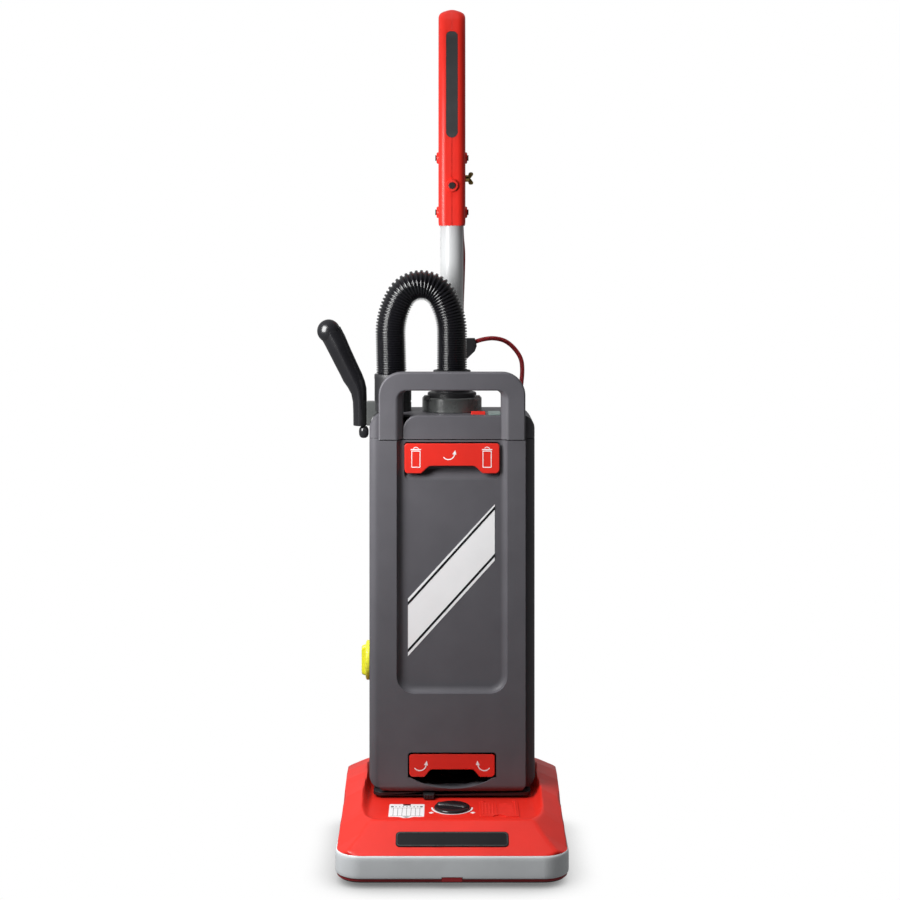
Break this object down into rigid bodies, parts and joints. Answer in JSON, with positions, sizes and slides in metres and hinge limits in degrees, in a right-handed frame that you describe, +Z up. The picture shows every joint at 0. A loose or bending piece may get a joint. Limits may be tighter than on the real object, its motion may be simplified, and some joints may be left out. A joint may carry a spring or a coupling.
{
  "type": "upright vacuum cleaner",
  "caption": "Commercial upright vacuum cleaner with a wide brush head, tall bag housing, carry loop, lift-out hose wand and long handle.",
  "frame": {"origin": "on the floor, on the centre line, below the front plane of the bag housing", "axes": "+Z up, +X to the right of a viewer who faces the machine, -Y towards that viewer; recline is about X"},
  "size_m": [0.3695, 0.372, 1.263],
  "materials": {
    "red_shell": "semi-gloss moulded ABS",
    "grey_shell": "fine textured moulded ABS",
    "bumper": "soft satin vinyl band",
    "black_plastic": "satin moulded",
    "black_gloss": "glossy moulded",
    "dark_red": "satin",
    "tube_paint": "smooth light painted tube",
    "hose": "ribbed vinyl",
    "rubber": "soft grip rubber",
    "belt_rubber": "flat belt",
    "steel": "turned steel",
    "brass": "cast brass",
    "yellow": "moulded cap",
    "collar": "smoky moulded collar",
    "panel": "printed panel",
    "label": "printed film",
    "paper_bag": "filter paper",
    "filter": "filter felt",
    "bristle": "nylon tufts",
    "motor_can": "drawn steel"
  },
  "bodies": {
    "head": {"head_cover": "red_shell", "bumper_band": "bumper", "lower_rim": "dark_red", "chassis": "black_plastic", "brush_chamber": "black_plastic", "brush_end_blocks": "grey_shell", "drive_belt": "belt_rubber", "brush_motor": "motor_can", "deck_labels": "label", "name_plate": "black_gloss", "service_cover": "red_shell", "head_pins": "steel", "pedal_spring": "steel"},
    "brush": {"brush_core": "black_plastic", "bristle_strips": "bristle"},
    "rotor": {"brush_rotor": "steel"},
    "carriage": {"roller_carriage": "black_plastic"},
    "rollers": {"front_rollers": "black_plastic"},
    "wheel_left": {"rear_wheel_left": "rubber"},
    "wheel_right": {"rear_wheel_right": "rubber"},
    "pedal": {"release_pedal": "black_plastic"},
    "knob": {"height_knob": "black_gloss"},
    "neck": {"yoke_plate": "black_plastic", "swivel_barrel": "black_plastic", "pivot_axles": "steel"},
    "upright": {"rear_housing": "grey_shell", "top_cap": "grey_shell", "door_seal": "rubber", "dust_bag": "paper_bag", "riser_pipe": "black_plastic", "suction_motor": "motor_can", "motor_filter": "filter", "exhaust_filter": "filter", "exhaust_cover": "grey_shell", "indicator_panel": "panel", "hose_collar": "collar", "hose_cuff": "black_plastic", "suction_hose": "hose", "tube_brackets": "black_plastic", "handle_tube": "tube_paint", "grip_left": "red_shell", "grip_right": "red_shell", "grip_insert": "rubber", "grip_screws": "steel", "cord_clip": "black_plastic", "power_cord": "dark_red"},
    "fan": {"fan_rotor": "steel"},
    "door": {"front_door": "grey_shell", "door_label": "label", "door_pins": "steel"},
    "latch": {"door_latch": "red_shell"},
    "disconnect": {"disconnect_latch": "red_shell"},
    "rocker": {"power_rocker": "red_shell"},
    "cleanout": {"cleanout_cap": "yellow"},
    "wand": {"wand_tube": "black_plastic", "wand_grip": "black_gloss", "grip_bracket": "grey_shell"},
    "wand_knob": {"lock_knob": "black_plastic"},
    "cord_hook": {"upper_cord_hook": "black_plastic"},
    "wing": {"wing_screw": "brass"}
  },
  "joints": [
    {"name": "brush_spin", "type": "hinge", "parent": "head", "child": "brush", "pos_m": [0, -0.1, 0.027], "axis": [1, 0, 0], "continuous": true},
    {"name": "rotor_spin", "type": "hinge", "parent": "head", "child": "rotor", "pos_m": [0, 0, 0.046], "axis": [1, 0, 0], "continuous": true},
    {"name": "carriage_tilt", "type": "hinge", "parent": "head", "child": "carriage", "pos_m": [0, -0.024, 0.016], "axis": [1, 0, 0], "range_deg": [0, 12]},
    {"name": "roller_spin", "type": "hinge", "parent": "carriage", "child": "rollers", "pos_m": [0, -0.05, 0.012], "axis": [1, 0, 0], "continuous": true},
    {"name": "wheel_left_spin", "type": "hinge", "parent": "head", "child": "wheel_left", "pos_m": [-0.142, 0.118, 0.026], "axis": [1, 0, 0], "continuous": true},
    {"name": "wheel_right_spin", "type": "hinge", "parent": "head", "child": "wheel_right", "pos_m": [0.142, 0.118, 0.026], "axis": [1, 0, 0], "continuous": true},
    {"name": "pedal_press", "type": "hinge", "parent": "head", "child": "pedal", "pos_m": [-0.14, 0.13, 0.07], "axis": [-1, 0, 0], "range_deg": [0, 12], "stiffness_Nm_per_rad": 2, "springref_deg": -11.46, "deforming": ["pedal_spring"]},
    {"name": "knob_turn", "type": "hinge", "parent": "head", "child": "knob", "pos_m": [0, -0.042, 0.08], "axis": [0, 0, 1], "range_deg": [0, 180]},
    {"name": "recline", "type": "hinge", "parent": "head", "child": "neck", "pos_m": [0, 0.1, 0.052], "axis": [-1, 0, 0], "range_deg": [0, 70]},
    {"name": "body_lift", "type": "slide", "parent": "neck", "child": "upright", "axis": [0, 0, 1], "range_m": [0, 0.06]},
    {"name": "fan_spin", "type": "hinge", "parent": "upright", "child": "fan", "pos_m": [0.062, 0.086, 0.15], "axis": [0, 0, 1], "continuous": true},
    {"name": "door_open", "type": "hinge", "parent": "upright", "child": "door", "pos_m": [0, 0.011, 0.099], "axis": [1, 0, 0], "range_deg": [0, 60]},
    {"name": "latch_pull", "type": "hinge", "parent": "door", "child": "latch", "pos_m": [0, 0.013, 0.596], "axis": [-1, 0, 0], "range_deg": [0, 20], "stiffness_Nm_per_rad": 0.5, "springref_deg": -11.46},
    {"name": "disconnect_pull", "type": "hinge", "parent": "upright", "child": "disconnect", "pos_m": [0, 0.014, 0.138], "axis": [-1, 0, 0], "range_deg": [0, 20], "stiffness_Nm_per_rad": 0.5, "springref_deg": -11.46},
    {"name": "rocker_tilt", "type": "hinge", "parent": "upright", "child": "rocker", "pos_m": [0.039, 0.037, 0.6404], "axis": [1, 0, 0], "range_deg": [-14, 0]},
    {"name": "cleanout_turn", "type": "hinge", "parent": "upright", "child": "cleanout", "pos_m": [-0.127, 0.085, 0.264], "axis": [1, 0, 0], "range_deg": [0, 90]},
    {"name": "wand_lift", "type": "slide", "parent": "upright", "child": "wand", "axis": [0, 0, 1], "range_m": [0, 0.08], "deforming": ["suction_hose"]},
    {"name": "lock_knob_turn", "type": "hinge", "parent": "wand", "child": "wand_knob", "pos_m": [-0.134, 0.09, 0.61], "axis": [0, 0, 1], "range_deg": [0, 180]},
    {"name": "cord_hook_swivel", "type": "hinge", "parent": "upright", "child": "cord_hook", "pos_m": [0, 0.19, 0.88], "axis": [0, 1, 0], "range_deg": [0, 180]},
    {"name": "wing_screw_turn", "type": "hinge", "parent": "upright", "child": "wing", "pos_m": [0.02, 0.17, 0.998], "axis": [1, 0, 0], "range_deg": [0, 180]}
  ],
  "couplings": [
    {"joint": "rotor_spin", "follows": "brush_spin", "ratio": 2},
    {"joint": "knob_turn", "follows": "carriage_tilt", "ratio": 15}
  ]
}
